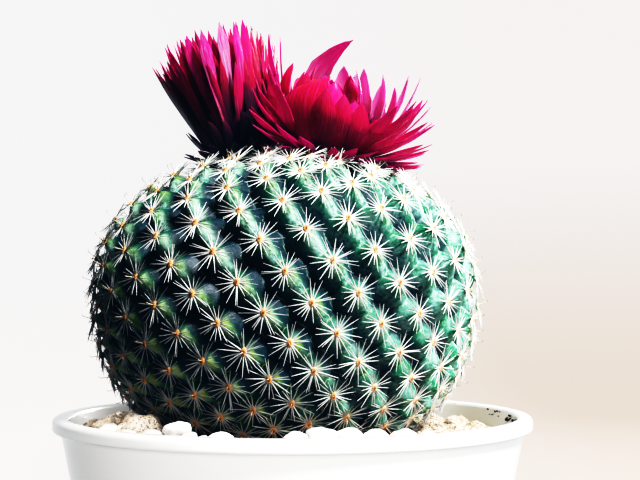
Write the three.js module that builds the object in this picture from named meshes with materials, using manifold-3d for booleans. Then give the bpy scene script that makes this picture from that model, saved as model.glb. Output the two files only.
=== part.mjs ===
// A round cactus in a white glazed pot, with two crimson flower heads on its crown.
// Millimetres, +Z up. The origin is the middle of the pot's foot, on the surface it stands on.
// The front of the part faces -Y, with +X to its right.

import * as THREE from 'three';
import { ConvexHull } from 'three/addons/math/ConvexHull.js';
import { mergeVertices } from 'three/addons/utils/BufferGeometryUtils.js';
import Module from 'manifold-3d';

const wasm = await Module();
wasm.setup();

const degree = Math.PI / 180;
const clearance = 0.3;              // left between pieces that touch on curved faces

// Pot: a tapered wall under a rolled rim, a foot ring and a drain hole
const potHeight = 90;
const rimRadius = 52.5;
const rimBeadHeight = 3.2;
const rimBeadRise = 1;              // from the bead's foot up to its widest edge
const rimChamfer = { drop: 0.9, outside: 0.3, top: 1.9, inside: 0.8 };
const wallTaper = Math.tan(11 * degree);
const footRadius = 33.7;
const wallThickness = 2.1;
const floorTop = 5;
const footRecess = 1.6;
const footRingWidth = 4;
const footChamfer = 0.8;
const drainRadius = 5;
const potSides = 48;

// Soil and the root that stands in it
const soilTop = potHeight - 7;
const rootLength = 14;
const rootTopRadius = 11;
const rootTipRadius = 7;
const rootOverlap = 3;              // how far the root runs up into the body
const roundSides = 24;

// Top dressing: a bed on the soil with stones half sunk in it
const bedTop = potHeight - 3.6;
const bedRise = 1.6;                // the bed is heaped towards the plant
const bedShoulder = 36;             // radius where the heap begins
const bedInside = 14;
const stoneSeed = 11;
const stoneRows = [
  { reach: 43.2, count: 17, size: 3.1, height: bedTop + 0.1 },
  { reach: 37, count: 14, size: 3.9, height: bedTop + 1.3 },
];
const stoneForm = { wide: 1.1, wider: 0.2, deep: 0.95, tall: 0.78 };
const bedClearance = 1.1;           // between the bed's faceted inner edge and the tubercles
const outlineStep = 2;              // height of the steps in that edge
const outlineTop = potHeight + 6;   // above every stone's top

// Cactus body: a flattened ball, wider than tall, by one formula above and below its middle
const bodyCentre = new THREE.Vector3(-1.75, 0, potHeight + 26.65);
const bodyHalfWidth = 42;
const bodyUpperHalf = 30.2;
const bodyLowerHalf = 36.5;
const bodyPower = 2.25;

// Tubercles: one for each areole, in a spiral round a growth axis that leans a little
const areoleCount = 361;            // over the whole ball, of which the top dressing hides some
const areoleStart = 5.84;
const divergence = 137.5243 * degree;
const firstAzimuth = 31.227 * degree;
const crownSpacing = 0.4125;        // how much wider apart the areoles are at the crown
const leanRight = 7.8 * degree;
const leanBack = 2.9 * degree;
const tubercleHeight = 5.2;
const areoleRadius = 1.25;
const areoleDome = 0.25;

// Spines: six round each areole and one straight out
const radialSpines = 6;
const spineLength = 4.9;
const spineRise = 27 * degree;      // how far a radial spine lifts off the tubercle's face
const spineFloor = potHeight + 2.6; // no spine starts or ends below this, where the stones are
const areoleSides = radialSpines + 1;
const padStep = 2 * Math.PI / areoleSides;

// Flower heads: where each sits, how it leans, the [radius, height] room above the tubercles that
// it takes, and its whorls of bracts from the outside in. Polar angles are in degrees from the
// head's axis, at a bract's root and at its tip. lift turns the bracts that face the other head up,
// and forward opens a whorl more at its front than behind
const headRoomHeight = 45;
const leftHead = {
  place: { x: -12.3, y: 1.5 }, leanX: -12 * degree, seatRadius: 6.6, seed: 5,
  core: [[6.4, 0], [7.2, 2.5], [6.6, 6], [4.6, 9.5], [0, 11.5]],
  neighbour: 0, room: [[13, 1.2], [20, headRoomHeight]],
  whorls: [
    { count: 7, root: [5.6, 1.3], length: 9, width: 2.5, polar: [52, 72], lift: 20 },
    { count: 13, root: [5.6, 2], length: 23.5, width: 3.3, polar: [27, 15], lift: 7 },
    { count: 11, root: [5, 3.4], length: 26.5, width: 3.5, polar: [20, 10], lift: 4 },
    { count: 6, root: [3.2, 5.5], length: 25.5, width: 3.6, polar: [10, 5] },
    { count: 3, root: [1.4, 8], length: 21.5, width: 3.8, polar: [4, 3] },
  ],
};
const rightHead = {
  place: { x: 7.8, y: 1.5 }, leanX: 6 * degree, seatRadius: 7.4, seed: 8,
  core: [[7, 0], [8.6, 2.5], [8.2, 6], [6, 9], [0, 10.5]],
  neighbour: 180, room: [[21, 0], [22, headRoomHeight]],
  whorls: [
    { count: 9, root: [6.8, 1.3], length: 12, width: 2.5, polar: [84, 92], lift: 20 },
    { count: 12, root: [7, 2.6], length: 17, width: 3, polar: [80, 66], lift: 36 },
    { count: 12, root: [7.4, 3.4], length: 19, width: 3.4, polar: [60, 38], lift: 18 },
    { count: 8, root: [7.4, 4.2], length: 19, width: 8, polar: [54, -24], forward: 14, broad: true },
    { count: 3, root: [3.4, 7.5], length: 15, width: 7, polar: [28, -30], broad: true },
  ],
  singles: [
    { azimuth: 140, root: [6.5, 6], length: 27.5, width: 7, polar: [18, -58], broad: true },
    { azimuth: 206, root: [7, 4], length: 25.5, width: 3, polar: [40, 8] },
    { azimuth: 226, root: [7, 4], length: 25, width: 3, polar: [34, 2] },
    { azimuth: 205, root: [7.2, 3], length: 18.5, width: 3, polar: [56, 26] },
  ],
};
const seatDepth = 2;                // the heads sit this far below the tips of the tubercles
const seatMargin = 0.6;             // round a head's seat
const roomMargin = 2;               // no spine reaches this close to a head's room
const partingPoint = new THREE.Vector3(-2.4, 0, potHeight + 54);
const partingLean = 4 * degree;     // the plane between the heads leans left by this much,
const partingTurn = -33 * degree;   // and its front edge is turned to the left by this much
const partingMargin = 1.4;          // a bract's middle line bends to stay this far from that plane
const slabSize = 200;
const bractThickness = 0.8;
const bractSteps = 24;
// shares of a bract's length and of its width there
const narrowStations = [[0, 0.6], [0.54, 1], [1, 0]];
const broadStations = [[0, 0.5], [1 / 3, 0.92], [2 / 3, 1], [1, 0]];

// ---- Small tools ----

// The minimal standard generator: the same numbers from 0 to 1 for the same seed
function seededRandom(seed) {
  const multiplier = 16807;
  const modulus = 2 ** 31 - 1;
  let state = seed;
  return () => {
    state = (state * multiplier) % modulus;
    return state / modulus;
  };
}

function weld(geometry) {
  const bare = geometry.index ? geometry.toNonIndexed() : geometry.clone();
  bare.deleteAttribute('normal');
  bare.deleteAttribute('uv');
  return mergeVertices(bare, 1e-5);
}

function signedVolume(geometry) {
  const position = geometry.getAttribute('position');
  const [a, b, c] = [new THREE.Vector3(), new THREE.Vector3(), new THREE.Vector3()];
  let volume = 0;
  for (let i = 0; i < geometry.index.count; i += 3) {
    a.fromBufferAttribute(position, geometry.index.getX(i));
    b.fromBufferAttribute(position, geometry.index.getX(i + 1));
    c.fromBufferAttribute(position, geometry.index.getX(i + 2));
    volume += a.dot(b.cross(c)) / 6;
  }
  return volume;
}

// A welded geometry as a solid whose faces point out
function toSolid(geometry) {
  const welded = weld(geometry);
  const triangles = Uint32Array.from(welded.index.array);
  if (signedVolume(welded) < 0) {
    triangles.reverse();
  }
  const vertices = Float32Array.from(welded.getAttribute('position').array);
  return new wasm.Manifold(new wasm.Mesh({ numProp: 3, vertProperties: vertices, triVerts: triangles }));
}

// The solid's outer skin: a hollow that joining has sealed is filled, and a loose scrap is dropped
function toGeometry(solid) {
  const { vertProperties, triVerts } = solid.getMesh();
  const shell = Array.from({ length: vertProperties.length / 3 }, (_, vertex) => vertex);
  const shellOf = (vertex) => {
    let root = vertex;
    while (shell[root] !== root) {
      shell[root] = shell[shell[root]];
      root = shell[root];
    }
    return root;
  };
  for (let i = 0; i < triVerts.length; i += 3) {
    shell[shellOf(triVerts[i])] = shellOf(triVerts[i + 1]);
    shell[shellOf(triVerts[i + 1])] = shellOf(triVerts[i + 2]);
  }
  const shells = new Map();
  for (let i = 0; i < triVerts.length; i += 3) {
    const root = shellOf(triVerts[i]);
    shells.set(root, [...(shells.get(root) ?? []), triVerts[i], triVerts[i + 1], triVerts[i + 2]]);
  }
  const [skin] = [...shells.values()].sort((a, b) => b.length - a.length);
  const geometry = new THREE.BufferGeometry();
  geometry.setAttribute('position', new THREE.BufferAttribute(vertProperties, 3));
  geometry.setIndex(skin);
  const kept = weld(geometry);
  kept.computeVertexNormals();
  return kept;
}

// A ring or solid of revolution about +Z from [radius, height] pairs
function turned(profile, sides) {
  const points = profile.map(([radius, height]) => new THREE.Vector2(radius, height));
  return new THREE.LatheGeometry(points, sides).rotateX(Math.PI / 2);
}

function indexedGeometry(points, triangles) {
  const geometry = new THREE.BufferGeometry();
  geometry.setAttribute('position', new THREE.Float32BufferAttribute(points.flatMap((p) => p.toArray()), 3));
  geometry.setIndex(triangles);
  return geometry;
}

function part(name, geometry, colour, roughness) {
  const material = new THREE.MeshStandardMaterial({ color: colour, roughness, metalness: 0 });
  const mesh = new THREE.Mesh(geometry, material);
  mesh.name = name;
  return mesh;
}

// ---- Pot ----

const outerWall = (height) => footRadius + height * wallTaper;
const innerWall = (height) => outerWall(height) - wallThickness;

function potGeometry() {
  const beadFoot = potHeight - rimBeadHeight;
  const profile = [
    [drainRadius, footRecess],
    [footRadius - footRingWidth, footRecess],
    [footRadius - footRingWidth, 0],
    [footRadius - footChamfer, 0],
    [outerWall(footChamfer), footChamfer],
    [outerWall(beadFoot), beadFoot],
    [rimRadius, beadFoot + rimBeadRise],
    [rimRadius - rimChamfer.outside, potHeight - rimChamfer.drop],
    [rimRadius - rimChamfer.top, potHeight],
    [innerWall(potHeight - rimChamfer.inside), potHeight - rimChamfer.inside],
    [innerWall(floorTop), floorTop],
    [drainRadius, floorTop],
    [drainRadius, footRecess],
  ];
  return toGeometry(toSolid(turned(profile, potSides)));
}

// ---- Soil, with a plain hole for the root ----

const rootRadius = (depth) => rootTopRadius + (rootTipRadius - rootTopRadius) * (depth / rootLength);

function soilGeometry() {
  const holeDepth = rootLength + clearance;
  const profile = [
    [0, floorTop],
    [innerWall(floorTop) - clearance, floorTop],
    [innerWall(soilTop) - clearance, soilTop],
    [0, soilTop],
  ];
  const hole = [
    [0, -holeDepth],
    [rootRadius(rootLength) + clearance, -holeDepth],
    [rootTopRadius + clearance, 0],
    [rootTopRadius + clearance, 1],
    [0, 1],
  ];
  const cutter = turned(hole, roundSides).translate(bodyCentre.x, bodyCentre.y, soilTop);
  return toGeometry(toSolid(turned(profile, potSides)).subtract(toSolid(cutter)));
}

// ---- Cactus ----

// Distance from the body's centre to its surface, over the areoles, along a unit direction
function bodyReach(direction) {
  const half = direction.z > 0 ? bodyUpperHalf : bodyLowerHalf;
  const across = Math.hypot(direction.x, direction.y) / bodyHalfWidth;
  const along = Math.abs(direction.z) / half;
  return (across ** bodyPower + along ** bodyPower) ** (-1 / bodyPower);
}

function bodyNormal(offset) {
  const half = offset.z > 0 ? bodyUpperHalf : bodyLowerHalf;
  const level = Math.max(Math.hypot(offset.x, offset.y), 1e-6);
  const across = (level / bodyHalfWidth) ** (bodyPower - 1) / bodyHalfWidth / level;
  const along = (Math.abs(offset.z) / half) ** (bodyPower - 1) / half;
  return new THREE.Vector3(offset.x * across, offset.y * across, Math.sign(offset.z) * along).normalize();
}

const growthTurn = new THREE.Matrix4().makeRotationY(leanRight)
  .multiply(new THREE.Matrix4().makeRotationX(-leanBack));
const growthPole = new THREE.Vector3(0, 0, 1).applyMatrix4(growthTurn);

function areoleDirections() {
  const directions = [];
  for (let n = 0; n < areoleCount - areoleStart; n++) {
    const share = (n + areoleStart) / areoleCount;
    const spread = share + crownSpacing * share * (1 - share);
    const polar = Math.acos(1 - 2 * spread);
    const azimuth = firstAzimuth + n * divergence;
    const direction = new THREE.Vector3(
      Math.sin(polar) * Math.cos(azimuth), Math.sin(polar) * Math.sin(azimuth), Math.cos(polar));
    directions.push(direction.applyMatrix4(growthTurn));
  }
  return directions;
}

// The valleys between tubercles meet at the middles of the hull's triangles on the unit ball
function valleysRound(directions) {
  const hull = new ConvexHull().setFromPoints(directions);
  const valleys = hull.faces.map((face) => face.normal.clone().normalize());
  const around = directions.map(() => []);
  hull.faces.forEach((face, index) => {
    let edge = face.edge;
    do {
      around[directions.indexOf(edge.head().point)].push(index);
      edge = edge.next;
    } while (edge !== face.edge);
  });
  return { valleys, around };
}

// Triangles between two rings of { index, angle }, both sorted by angle round one centre
function stitch(outer, inner, triangles) {
  let i = 0;
  let j = 0;
  const outerAngle = (k) => outer[k % outer.length].angle + 2 * Math.PI * Math.floor(k / outer.length);
  const innerAngle = (k) => inner[k % inner.length].angle + 2 * Math.PI * Math.floor(k / inner.length);
  while (i < outer.length || j < inner.length) {
    const takeOuter = j >= inner.length || (i < outer.length && outerAngle(i + 1) < innerAngle(j + 1));
    const a = outer[i % outer.length].index;
    const b = inner[j % inner.length].index;
    if (takeOuter) {
      triangles.push(a, outer[(i + 1) % outer.length].index, b);
      i++;
    } else {
      triangles.push(a, inner[(j + 1) % inner.length].index, b);
      j++;
    }
  }
}

// The tubercle of one areole: a valley ring drawn up to a small domed pad that carries the spines
function addTubercle(direction, valleyRing, points, triangles, keepOuts) {
  const offset = direction.clone().multiplyScalar(bodyReach(direction));
  const out = bodyNormal(offset);
  const tip = bodyCentre.clone().add(offset);
  const up = growthPole.clone().addScaledVector(out, -growthPole.dot(out)).normalize();
  const side = up.clone().cross(out);
  const armAt = (turn) => side.clone().multiplyScalar(Math.cos(turn)).addScaledVector(up, Math.sin(turn));
  const outer = valleyRing.map((index) => {
    const arm = points[index].clone().sub(tip);
    return { index, angle: Math.atan2(arm.dot(up), arm.dot(side)) };
  });
  outer.sort((a, b) => a.angle - b.angle);
  const centre = points.push(tip.clone().addScaledVector(out, areoleDome)) - 1;
  // no pad where the top dressing or a flower head lies on the body
  if (tip.z < bedTop || keepOuts.some((keepOut) => keepOut.covers(tip))) {
    outer.forEach(({ index }, k) => triangles.push(index, outer[(k + 1) % outer.length].index, centre));
    return;
  }
  const pad = [];
  for (let k = 0; k < areoleSides; k++) {
    const arm = armAt(Math.PI / 2 + (k - 0.5) * padStep);
    const index = points.push(tip.clone().addScaledVector(arm, areoleRadius)) - 1;
    pad.push({ index, angle: Math.atan2(arm.dot(up), arm.dot(side)) });
  }
  stitch(outer, [...pad].sort((a, b) => a.angle - b.angle), triangles);
  pad.forEach(({ index }, k) => {
    const next = pad[(k + 1) % areoleSides].index;
    // the side of the pad that faces the crown carries the spine that points straight out
    const arm = armAt(Math.PI / 2 + (k - 0.5) * 2 * Math.PI / radialSpines);
    const rise = k === 0 ? Math.PI / 2 : spineRise;
    const spine = arm.multiplyScalar(Math.cos(rise)).addScaledVector(out, Math.sin(rise));
    const point = tip.clone().addScaledVector(spine, spineLength);
    const halfway = tip.clone().addScaledVector(spine, spineLength / 2);
    const hit = keepOuts.some((keepOut) => keepOut.covers(point) || keepOut.covers(halfway));
    if (Math.min(point.z, tip.z) > spineFloor && !hit) {
      const apex = points.push(point) - 1;
      triangles.push(centre, index, apex, index, next, apex, next, centre, apex);
    } else {
      triangles.push(centre, index, next);
    }
  });
}

function cactusSolid(keepOuts) {
  const directions = areoleDirections();
  const { valleys, around } = valleysRound(directions);
  const points = valleys.map((direction) => {
    const reach = bodyReach(direction) - tubercleHeight;
    return bodyCentre.clone().addScaledVector(direction, reach);
  });
  const triangles = [];
  directions.forEach((direction, n) => addTubercle(direction, around[n], points, triangles, keepOuts));
  return toSolid(indexedGeometry(points, triangles));
}

function rootSolid() {
  const profile = [
    [0, -rootLength],
    [rootRadius(rootLength), -rootLength],
    [rootTopRadius, 0],
    [rootTopRadius, rootOverlap],
    [0, rootOverlap],
  ];
  return toSolid(turned(profile, roundSides).translate(bodyCentre.x, bodyCentre.y, soilTop));
}

function cactusGeometry(keepOuts) {
  const below = new THREE.BoxGeometry(slabSize, slabSize, slabSize).translate(0, 0, soilTop - slabSize / 2);
  let solid = cactusSolid(keepOuts).subtract(toSolid(below)).add(rootSolid());
  keepOuts.forEach((keepOut) => {
    solid = solid.subtract(keepOut.solid);
  });
  return toGeometry(solid);
}

// ---- Flower heads ----

// The frame of a head: its seat's middle, just below the tubercle tips, and its axis
function headFrame(head) {
  const offset = new THREE.Vector3(head.place.x, head.place.y, 0).sub(bodyCentre);
  const level = Math.hypot(offset.x, offset.y) / bodyHalfWidth;
  offset.z = bodyUpperHalf * (1 - level ** bodyPower) ** (1 / bodyPower);
  const seat = bodyCentre.clone().add(offset).addScaledVector(bodyNormal(offset), -seatDepth);
  return new THREE.Matrix4().makeRotationY(head.leanX).setPosition(seat);
}

// The room that a head takes, which the cactus keeps clear of
function keepOutOf(head) {
  const frame = headFrame(head);
  const inverse = frame.clone().invert();
  const profile = [[head.seatRadius + seatMargin, 0], ...head.room];
  const ceiling = profile.map(([radius, height]) => [radius + roomMargin, height - 2 * clearance]);
  return {
    solid: toSolid(turned([[0, 0], ...profile, [0, headRoomHeight]], roundSides).applyMatrix4(frame)),
    covers(point) {
      const local = point.clone().applyMatrix4(inverse);
      const radius = Math.hypot(local.x, local.y);
      const last = ceiling.findIndex(([reach]) => reach >= radius);
      if (last < 0) {
        return false;
      }
      const [outRadius, outHeight] = ceiling[last];
      const [inRadius, inHeight] = last > 0 ? ceiling[last - 1] : [0, ceiling[0][1]];
      const share = (radius - inRadius) / Math.max(outRadius - inRadius, 1e-6);
      return local.z > inHeight + share * (outHeight - inHeight);
    },
  };
}

const partingNormal = new THREE.Vector3(Math.cos(partingLean), 0, Math.sin(partingLean))
  .applyAxisAngle(new THREE.Vector3(0, 0, 1), partingTurn);

const turnedBy = (vector, frame) => {
  const length = vector.length();
  return vector.clone().transformDirection(frame).multiplyScalar(length);
};

// Where a bract's middle line lies in its own plane, from its root to its tip
function bractMiddles(bract, rootPolar, tipPolar) {
  let [radius, height] = bract.root;
  const middles = [];
  for (let k = 0; k <= bractSteps; k++) {
    const polar = rootPolar + (tipPolar - rootPolar) * k / bractSteps;
    middles.push({ radius, height, polar });
    radius += Math.sin(polar) * bract.length / bractSteps;
    height += Math.cos(polar) * bract.length / bractSteps;
  }
  return middles;
}

// A bract: a lens-shaped blade that widens above its root and runs out to a point
function bractSolid(bract, azimuth, frame, neighbour, sideSign) {
  const facing = Math.max(0, Math.cos(azimuth - neighbour * degree)) ** 1.5;
  const lift = (bract.lift ?? 0) * facing;
  const forward = -(bract.forward ?? 0) * Math.sin(azimuth);
  const [rootPolar, tipPolar] = bract.polar.map(
    (polar) => (polar - Math.sign(polar) * lift + forward) * degree);
  const across = new THREE.Vector3(-Math.sin(azimuth), Math.cos(azimuth), 0);
  const away = new THREE.Vector3(Math.cos(azimuth), Math.sin(azimuth), 0);
  const stations = bract.broad ? broadStations : narrowStations;
  const middles = bractMiddles(bract, rootPolar, tipPolar);
  const points = [];
  const triangles = [];
  stations.forEach(([share, widthShare], s) => {
    const middle = middles[Math.round(share * bractSteps)];
    const centre = away.clone().multiplyScalar(middle.radius).setZ(middle.height).applyMatrix4(frame);
    const past = centre.clone().sub(partingPoint).dot(partingNormal) * sideSign;
    if (past < partingMargin) {
      centre.addScaledVector(partingNormal, (partingMargin - past) * sideSign);
    }
    const face = away.clone().multiplyScalar(Math.cos(middle.polar)).setZ(-Math.sin(middle.polar));
    const edge = turnedBy(across, frame).multiplyScalar(bract.width / 2 * widthShare);
    const crown = turnedBy(face, frame).multiplyScalar(bractThickness / 2);
    if (s === stations.length - 1) {
      points.push(centre);
      return;
    }
    [edge, crown].forEach((arm) => points.push(centre.clone().add(arm)));
    [edge, crown].forEach((arm) => points.push(centre.clone().sub(arm)));
  });
  triangles.push(0, 1, 2, 0, 2, 3);
  for (let s = 0; s < stations.length - 1; s++) {
    for (let k = 0; k < 4; k++) {
      const a = 4 * s + k;
      const b = 4 * s + (k + 1) % 4;
      if (s === stations.length - 2) {
        triangles.push(b, a, 4 * (s + 1));
      } else {
        triangles.push(b, a, a + 4, b, a + 4, b + 4);
      }
    }
  }
  return toSolid(indexedGeometry(points, triangles));
}

function headGeometry(head, sideSign) {
  const frame = headFrame(head);
  const random = seededRandom(head.seed);
  const core = turned([[0, 0], ...head.core], roundSides).translate(0, 0, clearance);
  const solids = [toSolid(core.applyMatrix4(frame))];
  head.whorls.forEach((whorl, w) => {
    for (let k = 0; k < whorl.count; k++) {
      const azimuth = (k + 0.5 * (w % 2) + (random() - 0.5) * 0.3) * 2 * Math.PI / whorl.count;
      const length = whorl.length * (0.93 + 0.12 * random());
      const tilt = (random() - 0.5) * 5;
      const polar = whorl.polar.map((angle) => angle + tilt);
      solids.push(bractSolid({ ...whorl, length, polar }, azimuth, frame, head.neighbour, sideSign));
    }
  });
  (head.singles ?? []).forEach((single) => {
    solids.push(bractSolid(single, single.azimuth * degree, frame, head.neighbour, sideSign));
  });
  // nothing of a head reaches past the plane between the two
  const slab = new THREE.BoxGeometry(slabSize, slabSize, slabSize)
    .translate(-sideSign * (slabSize - clearance) / 2, 0, 0)
    .rotateY(-partingLean)
    .rotateZ(partingTurn)
    .translate(partingPoint.x, partingPoint.y, partingPoint.z);
  return toGeometry(wasm.Manifold.union(solids).subtract(toSolid(slab)));
}

// ---- Top dressing ----

function gravelGeometry() {
  const random = seededRandom(stoneSeed);
  const bed = [
    [bedInside, soilTop],
    [innerWall(soilTop) - clearance, soilTop],
    [innerWall(bedTop - bedRise) - clearance, bedTop - bedRise],
    [bedShoulder, bedTop],
    [bedInside, bedTop + bedRise],
    [bedInside, soilTop],
  ];
  const solids = [toSolid(turned(bed, roundSides))];
  stoneRows.forEach(({ reach, count, size, height }, row) => {
    for (let k = 0; k < count; k++) {
      const azimuth = (k + 0.5 * row + 0.35 * random()) * 2 * Math.PI / count;
      const radius = size * (0.82 + 0.32 * random());
      const stone = new THREE.IcosahedronGeometry(radius, 0)
        .rotateX(Math.PI * random()).rotateY(Math.PI * random())
        .scale(stoneForm.wide + stoneForm.wider * random(), stoneForm.deep, stoneForm.tall)
        .rotateZ(azimuth)
        .translate(reach * Math.cos(azimuth), reach * Math.sin(azimuth), height + 0.8 * random());
      solids.push(toSolid(stone));
    }
  });
  // the body's outline, a little larger, is cut out of the middle
  const outline = [];
  for (let height = soilTop - 1; height <= outlineTop; height += outlineStep) {
    const share = (bodyCentre.z - height) / bodyLowerHalf;
    outline.push([bodyHalfWidth * (1 - share ** bodyPower) ** (1 / bodyPower) + bedClearance, height]);
  }
  const body = turned([[0, soilTop - 1], ...outline, [0, outline.at(-1)[1]]], roundSides)
    .translate(bodyCentre.x, bodyCentre.y, 0);
  return toGeometry(wasm.Manifold.union(solids).subtract(toSolid(body)));
}

// ---- Assembly ----

const keepOuts = [keepOutOf(leftHead), keepOutOf(rightHead)];

const pottedCactus = new THREE.Group();
pottedCactus.add(
  part('pot', potGeometry(), 0xf3f2ef, 0.18),
  part('soil', soilGeometry(), 0x3a2d24, 0.95),
  part('gravel', gravelGeometry(), 0xd9cbb8, 0.85),
  part('cactus', cactusGeometry(keepOuts), 0x2f6b4a, 0.5),
  part('flower_left', headGeometry(leftHead, -1), 0xb01048, 0.6),
  part('flower_right', headGeometry(rightHead, 1), 0xd0105a, 0.6),
);

export default pottedCactus;
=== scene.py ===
import math
import random

import bpy
import numpy as np
from mathutils import Matrix, Vector, noise


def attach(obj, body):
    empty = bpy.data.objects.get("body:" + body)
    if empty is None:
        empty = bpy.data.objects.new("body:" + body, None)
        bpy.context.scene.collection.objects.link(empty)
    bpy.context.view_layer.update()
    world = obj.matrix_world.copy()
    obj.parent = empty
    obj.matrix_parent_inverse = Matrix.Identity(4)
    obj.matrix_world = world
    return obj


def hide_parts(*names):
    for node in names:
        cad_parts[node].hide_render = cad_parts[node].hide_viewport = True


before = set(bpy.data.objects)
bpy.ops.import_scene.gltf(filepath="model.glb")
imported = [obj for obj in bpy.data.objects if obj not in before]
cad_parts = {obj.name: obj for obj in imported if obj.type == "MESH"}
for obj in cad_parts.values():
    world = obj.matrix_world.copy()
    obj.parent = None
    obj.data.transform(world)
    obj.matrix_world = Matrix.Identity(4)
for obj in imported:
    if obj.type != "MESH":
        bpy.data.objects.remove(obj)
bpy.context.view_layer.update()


def clearSelection():
    bpy.ops.object.select_all(action="DESELECT")


def nameNew(name):
    # the object that was just added or joined
    piece = bpy.context.object
    piece.name = name
    return piece


def editAll():
    bpy.ops.object.mode_set(mode="EDIT")
    bpy.ops.mesh.select_all(action="SELECT")


def stopEditing():
    bpy.ops.object.mode_set(mode="OBJECT")


def selectOnly(piece):
    clearSelection()
    piece.select_set(True)
    bpy.context.view_layer.objects.active = piece


def applyModifier(piece, kind, settings):
    selectOnly(piece)
    modifier = piece.modifiers.new(kind.lower(), kind)
    for key, value in settings.items():
        setattr(modifier, key, value)
    bpy.ops.object.modifier_apply(modifier=modifier.name)


def arc(centre, radius, start, end, steps):
    # points round a corner, angles in degrees
    angles = [math.radians(start + (end - start) * k / steps) for k in range(steps + 1)]
    return [(centre[0] + radius * math.cos(a), centre[1] + radius * math.sin(a)) for a in angles]


def followProfile(extrude, profile):
    # the selected circle is extruded and resized along the profile's points, from the first
    radius, height = profile[0]
    for nextRadius, nextHeight in profile[1:]:
        extrude(TRANSFORM_OT_translate={"value": (0, 0, nextHeight - height)})
        share = nextRadius / radius
        bpy.ops.transform.resize(value=(share, share, 1), center_override=(0, 0, nextHeight))
        radius, height = nextRadius, nextHeight


def turnProfile(name, profile, sides):
    # a closed ring of revolution
    clearSelection()
    radius, height = profile[0]
    bpy.ops.mesh.primitive_circle_add(vertices=sides, radius=radius, location=(0, 0, height))
    piece = nameNew(name)
    bpy.ops.object.transform_apply(location=True, rotation=True, scale=True)
    editAll()
    followProfile(bpy.ops.mesh.extrude_region_move, [*profile, profile[0]])
    bpy.ops.mesh.select_all(action="SELECT")
    bpy.ops.mesh.remove_doubles(threshold=0.00001)
    bpy.ops.mesh.normals_make_consistent(inside=False)
    stopEditing()
    return piece


def smooth(piece, degrees):
    selectOnly(piece)
    bpy.ops.object.shade_smooth_by_angle(angle=math.radians(degrees))


def readPoints(piece):
    points = np.zeros(len(piece.data.vertices) * 3)
    piece.data.vertices.foreach_get("co", points)
    return points.reshape(-1, 3)


def writePoints(piece, points):
    piece.data.vertices.foreach_set("co", points.ravel())
    piece.data.update()


def writeAttribute(piece, name, values):
    attribute = piece.data.attributes.new(name, "FLOAT", "POINT")
    attribute.data.foreach_set("value", np.asarray(values, dtype=np.float32))


def copyTo(original, matrix):
    copy = original.copy()
    copy.data = original.data.copy()
    copy.data.transform(matrix)
    bpy.context.scene.collection.objects.link(copy)
    return copy


def joinPieces(name, pieces):
    clearSelection()
    for piece in pieces:
        piece.select_set(True)
    bpy.context.view_layer.objects.active = pieces[0]
    bpy.ops.object.join()
    return nameNew(name)


def lightFrom(lamps, piece):
    for name in lamps:
        bpy.data.objects[name].light_linking.receiver_collection.objects.link(piece)


def finishPiece(piece, material, node):
    piece.data.materials.clear()
    piece.data.materials.append(material)
    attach(piece, "root")
    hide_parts(node)


class Socket:
    def __init__(self, shader, socket):
        self.shader = shader
        self.socket = socket

    def sum(self, operation, first, second):
        return self.shader.node("ShaderNodeMath", {"operation": operation}, {0: first, 1: second})

    def __add__(self, other):
        return self.sum("ADD", self, other)

    def __sub__(self, other):
        return self.sum("SUBTRACT", self, other)

    def __rsub__(self, other):
        return self.sum("SUBTRACT", other, self)

    def __mul__(self, other):
        return self.sum("MULTIPLY", self, other)

    def __truediv__(self, other):
        return self.sum("DIVIDE", self, other)

    def __pow__(self, other):
        return self.sum("POWER", self, other)

    def atLeast(self, other):
        return self.sum("MAXIMUM", self, other)

    __radd__ = __add__
    __rmul__ = __mul__


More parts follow.
